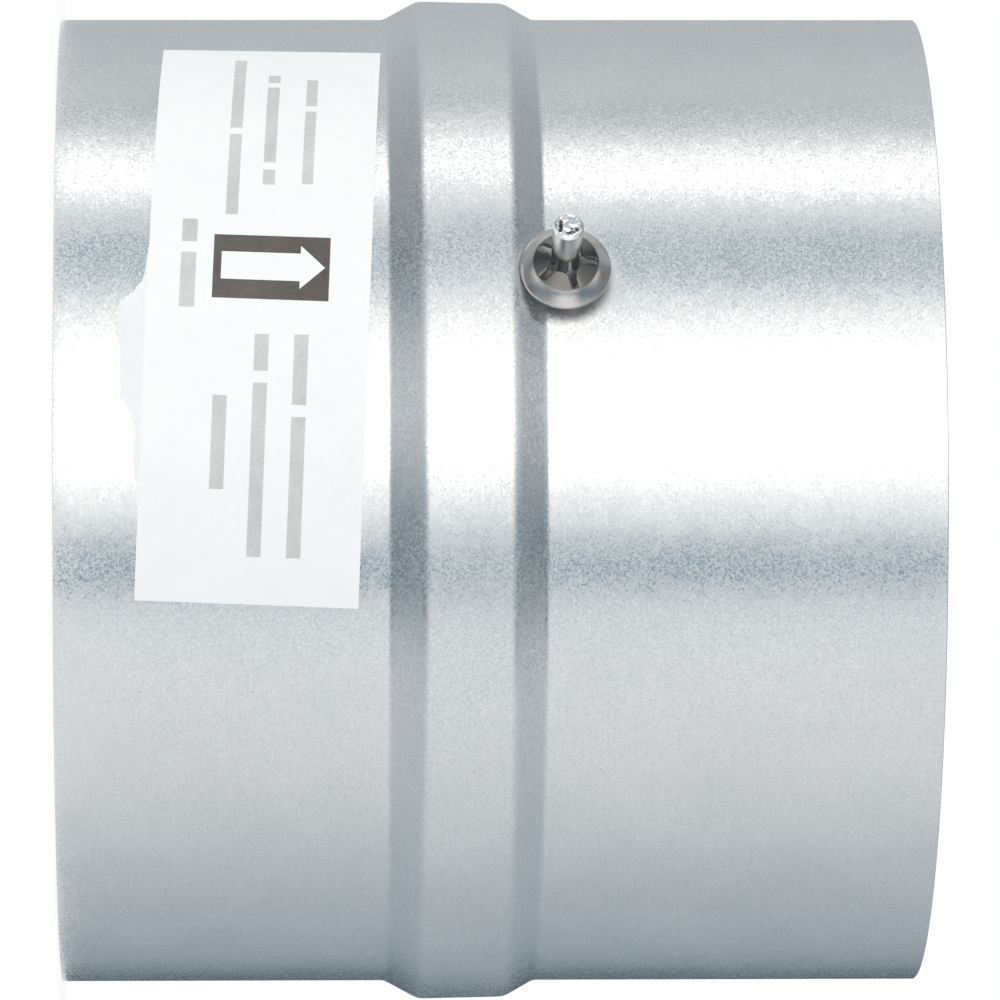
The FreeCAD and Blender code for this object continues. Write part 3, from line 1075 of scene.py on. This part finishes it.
def room_light(levels, middle_coolness):
    """The light round the room, as a colour ramp."""
    walls = put(tree, "ValToRGB", {"Fac": round_room})
    ramp = walls.color_ramp
    while len(ramp.elements) < len(levels):
        ramp.elements.new(0.5)
    for element, (angle, level) in zip(ramp.elements, levels):
        coolness = lower_coolness if angle < 0.0 else upper_coolness
        if middle_angles[0] < angle < middle_angles[1]:
            coolness = middle_coolness
        cool = max(0.0, cool_below - level) * coolness
        warm = min(1.0, max(0.0, level - warm_above) / (warm_full - warm_above))
        red = 1.0 - cool_red_loss * cool + warm_red_gain * warm
        blue = 1.0 + cool_blue_gain * cool - warm_blue_loss * warm
        element.position = 0.5 - angle / 360.0
        tint = (level * red, level, level * blue)
        element.color = (*(part / brightest for part in tint), 1.0)
    return walls.outputs["Color"]


up = put(tree, "SeparateXYZ", {0: direction}).outputs["Z"]
height = math_of(tree, "ABSOLUTE", up)
off_level = spread(tree, height, 0.0, 1.0, eye_level_end, high_and_low_start)
wall_lights = {"Factor": off_level}
wall_lights[6] = room_light(eye_level, eye_level_coolness)
wall_lights[7] = room_light(high_and_low, flank_coolness)
walls = put(tree, "Mix", wall_lights, data_type="RGBA")
overhead = spread(tree, height, 0.0, 1.0, ceiling_start, ceiling_full)
room = put(tree, "Mix", {"Factor": overhead, 6: walls.outputs[2], 7: ceiling}, data_type="RGBA")
background = tree.nodes["Background"]
background.inputs["Strength"].default_value = brightest
tree.links.new(room.outputs[2], background.inputs["Color"])
plain_white = put(tree, "Background", {"Color": (1.0, 1.0, 1.0, 1.0), "Strength": 1.0})
rays = put(tree, "LightPath").outputs
behind = (-math.sin(math.radians(camera_azimuth)), math.cos(math.radians(camera_azimuth)), 0.0)
facing = put(tree, "VectorMath", {0: direction, 1: behind}, operation="DOT_PRODUCT").outputs["Value"]
paper_cosines = [math.cos(math.radians(angle)) for angle in (paper_edge, paper_half_width)]
on_paper = spread(tree, facing, 0.0, 1.0, *paper_cosines)
mirrored = math_of(tree, "MULTIPLY", rays["Is Glossy Ray"], on_paper)
seen = math_of(tree, "MAXIMUM", rays["Is Camera Ray"], rays["Is Transmission Ray"])
seen = math_of(tree, "MAXIMUM", seen, mirrored)
surround_mix = put(tree, "MixShader", {0: seen, 1: background.outputs[0], 2: plain_white.outputs[0]})
tree.links.new(surround_mix.outputs[0], tree.nodes["World Output"].inputs["Surface"])


lamp_height = 0.05


def soft_box(name, turn_from_camera, distance, width, height, brightness):
    """An area lamp facing the object, at a turn from the camera in degrees. Lengths are in metres."""
    azimuth = math.radians(camera_azimuth - turn_from_camera)
    lamp = bpy.data.lights.new(name, "AREA")
    lamp.shape = "RECTANGLE"
    lamp.size = width
    lamp.size_y = height
    lamp.energy = brightness * math.pi * width * height
    box = bpy.data.objects.new(name, lamp)
    outward = Vector((math.sin(azimuth), -math.cos(azimuth), 0.0))
    box.matrix_world = Matrix.Translation(outward * distance + Vector((0.0, 0.0, lamp_height)))
    box.matrix_world @= outward.to_track_quat("Z", "Y").to_matrix().to_4x4()
    box.visible_camera = False
    box.visible_glossy = False
    scene.collection.objects.link(box)


soft_box("front_soft_box", turn_from_camera=24.5, distance=3.0, width=2.4, height=2.4, brightness=0.9)
soft_box("side_strip", turn_from_camera=84.5, distance=3.0, width=1.0, height=2.4, brightness=0.78)

# Camera: it stands where the photograph was taken, with the tube's axis across the picture.
# Its distance, yaw and roll were fitted to the tube's outline.
lens_length = 313.1
camera_distance = 902.93
axis_yaw = math.radians(1.687)
axis_roll = math.radians(-0.075)
tube_middle = Vector((0.0, 0.0, casing_length / 2))
picture_offset = (1.354, 0.0)
azimuth = math.radians(camera_azimuth)
towards = Vector((math.sin(azimuth), -math.cos(azimuth), 0.0))
above = Vector((-math.cos(azimuth), -math.sin(azimuth), 0.0))
along = Vector((0.0, 0.0, 1.0))
back = towards * math.cos(axis_yaw) - along * math.sin(axis_yaw)
level_right = along * math.cos(axis_yaw) + towards * math.sin(axis_yaw)
right = level_right * math.cos(axis_roll) + above * math.sin(axis_roll)
upward = above * math.cos(axis_roll) - level_right * math.sin(axis_roll)
stand = tube_middle + back * camera_distance + right * picture_offset[0] + upward * picture_offset[1]
lens = bpy.data.cameras.new("photo_camera")
lens.lens = lens_length
lens.sensor_width = 36.0
lens.clip_start = 0.01
lens.clip_end = 20.0
camera = bpy.data.objects.new("photo_camera", lens)
camera.matrix_world = Matrix.Translation(stand * MM) @ Matrix((right, upward, back)).transposed().to_4x4()
scene.collection.objects.link(camera)
scene.camera = camera
